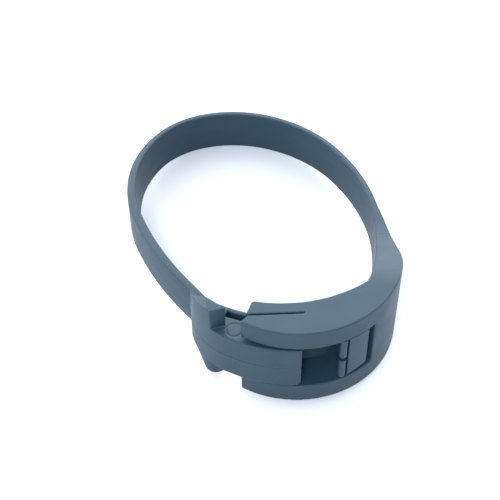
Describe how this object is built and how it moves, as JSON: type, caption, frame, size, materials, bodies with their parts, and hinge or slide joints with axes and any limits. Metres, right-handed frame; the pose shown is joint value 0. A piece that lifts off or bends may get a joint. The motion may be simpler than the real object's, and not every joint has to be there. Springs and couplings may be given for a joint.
{
  "type": "strap clamp ring for a fence insulator",
  "caption": "Moulded plastic strap ring with a windowed buckle and a sliding latch tongue; clamps a fence insulator to a round post.",
  "frame": {"origin": "the post's axis, in the plane that the buckle stands on", "axes": "+Z along the post, +Y from the buckle towards the far side of the band, +X along the buckle from its mouth to its solid end"},
  "size_m": [0.0496, 0.0611, 0.0185],
  "materials": {
    "buckle_plastic": "fine matt moulded surface",
    "band_plastic": "matt with a faint lengthwise grain",
    "tongue_plastic": "matt with a mould parting line",
    "latch_plastic": "satin matt"
  },
  "bodies": {
    "buckle": {"buckle_top_plate": "buckle_plastic", "buckle_bottom_plate": "buckle_plastic", "buckle_inner_wall": "buckle_plastic", "buckle_end_block": "buckle_plastic", "band_shoulder": "buckle_plastic", "band_root": "band_plastic", "latch_pin": "latch_plastic"},
    "band_right": {"band_right_span": "band_plastic"},
    "band_far": {"band_far_right_span": "band_plastic", "band_far_left_span": "band_plastic"},
    "band_left": {"band_left_span": "band_plastic"},
    "tongue": {"tongue_upper_half": "tongue_plastic", "tongue_lower_half": "tongue_plastic", "tongue_tail": "band_plastic", "upper_ear": "tongue_plastic", "lower_ear": "tongue_plastic", "latch_strip": "tongue_plastic"},
    "spring_lip": {"lip_top_finger": "buckle_plastic", "lip_bottom_finger": "buckle_plastic", "lip_wall": "buckle_plastic"},
    "latch": {"latch_flap": "latch_plastic", "latch_knuckles": "latch_plastic"}
  },
  "joints": [
    {"name": "band_opening", "type": "hinge", "parent": "buckle", "child": "band_right", "pos_m": [0.01792, 0.00315, 0.00925], "axis": [0, 0, 1], "range_deg": [-17, 2.15], "stiffness_Nm_per_rad": 0.18},
    {"name": "band_bend_right", "type": "hinge", "parent": "band_right", "child": "band_far", "pos_m": [0.01126, 0.01906, 0.00925], "axis": [0, 0, 1], "range_deg": [-16.22, 2.49]},
    {"name": "band_bend_left", "type": "hinge", "parent": "band_far", "child": "band_left", "pos_m": [-0.02598, 0.00035, 0.00925], "axis": [0, 0, 1], "range_deg": [-6.29, 1.23]},
    {"name": "tongue_bend", "type": "hinge", "parent": "band_left", "child": "tongue", "pos_m": [-0.01541, -0.01653, 0.00925], "axis": [0, 0, 1], "range_deg": [-21.99, 3.22]},
    {"name": "flap_swing", "type": "hinge", "parent": "buckle", "child": "latch", "pos_m": [0.01025, -0.02839, 0.00925], "axis": [0, 0, 1], "range_deg": [-10, 8], "stiffness_Nm_per_rad": 0.002},
    {"name": "lip_flex", "type": "hinge", "parent": "buckle", "child": "spring_lip", "pos_m": [0.00358, -0.0249, 0.00925], "axis": [0, 0, -1], "range_deg": [0, 2], "stiffness_Nm_per_rad": 0.05}
  ],
  "couplings": [
    {"joint": "band_bend_right", "follows": "band_opening", "ratio": 0.9248},
    {"joint": "band_bend_left", "follows": "band_opening", "ratio": 0.3406},
    {"joint": "tongue_bend", "follows": "band_opening", "ratio": 1.2645}
  ]
}
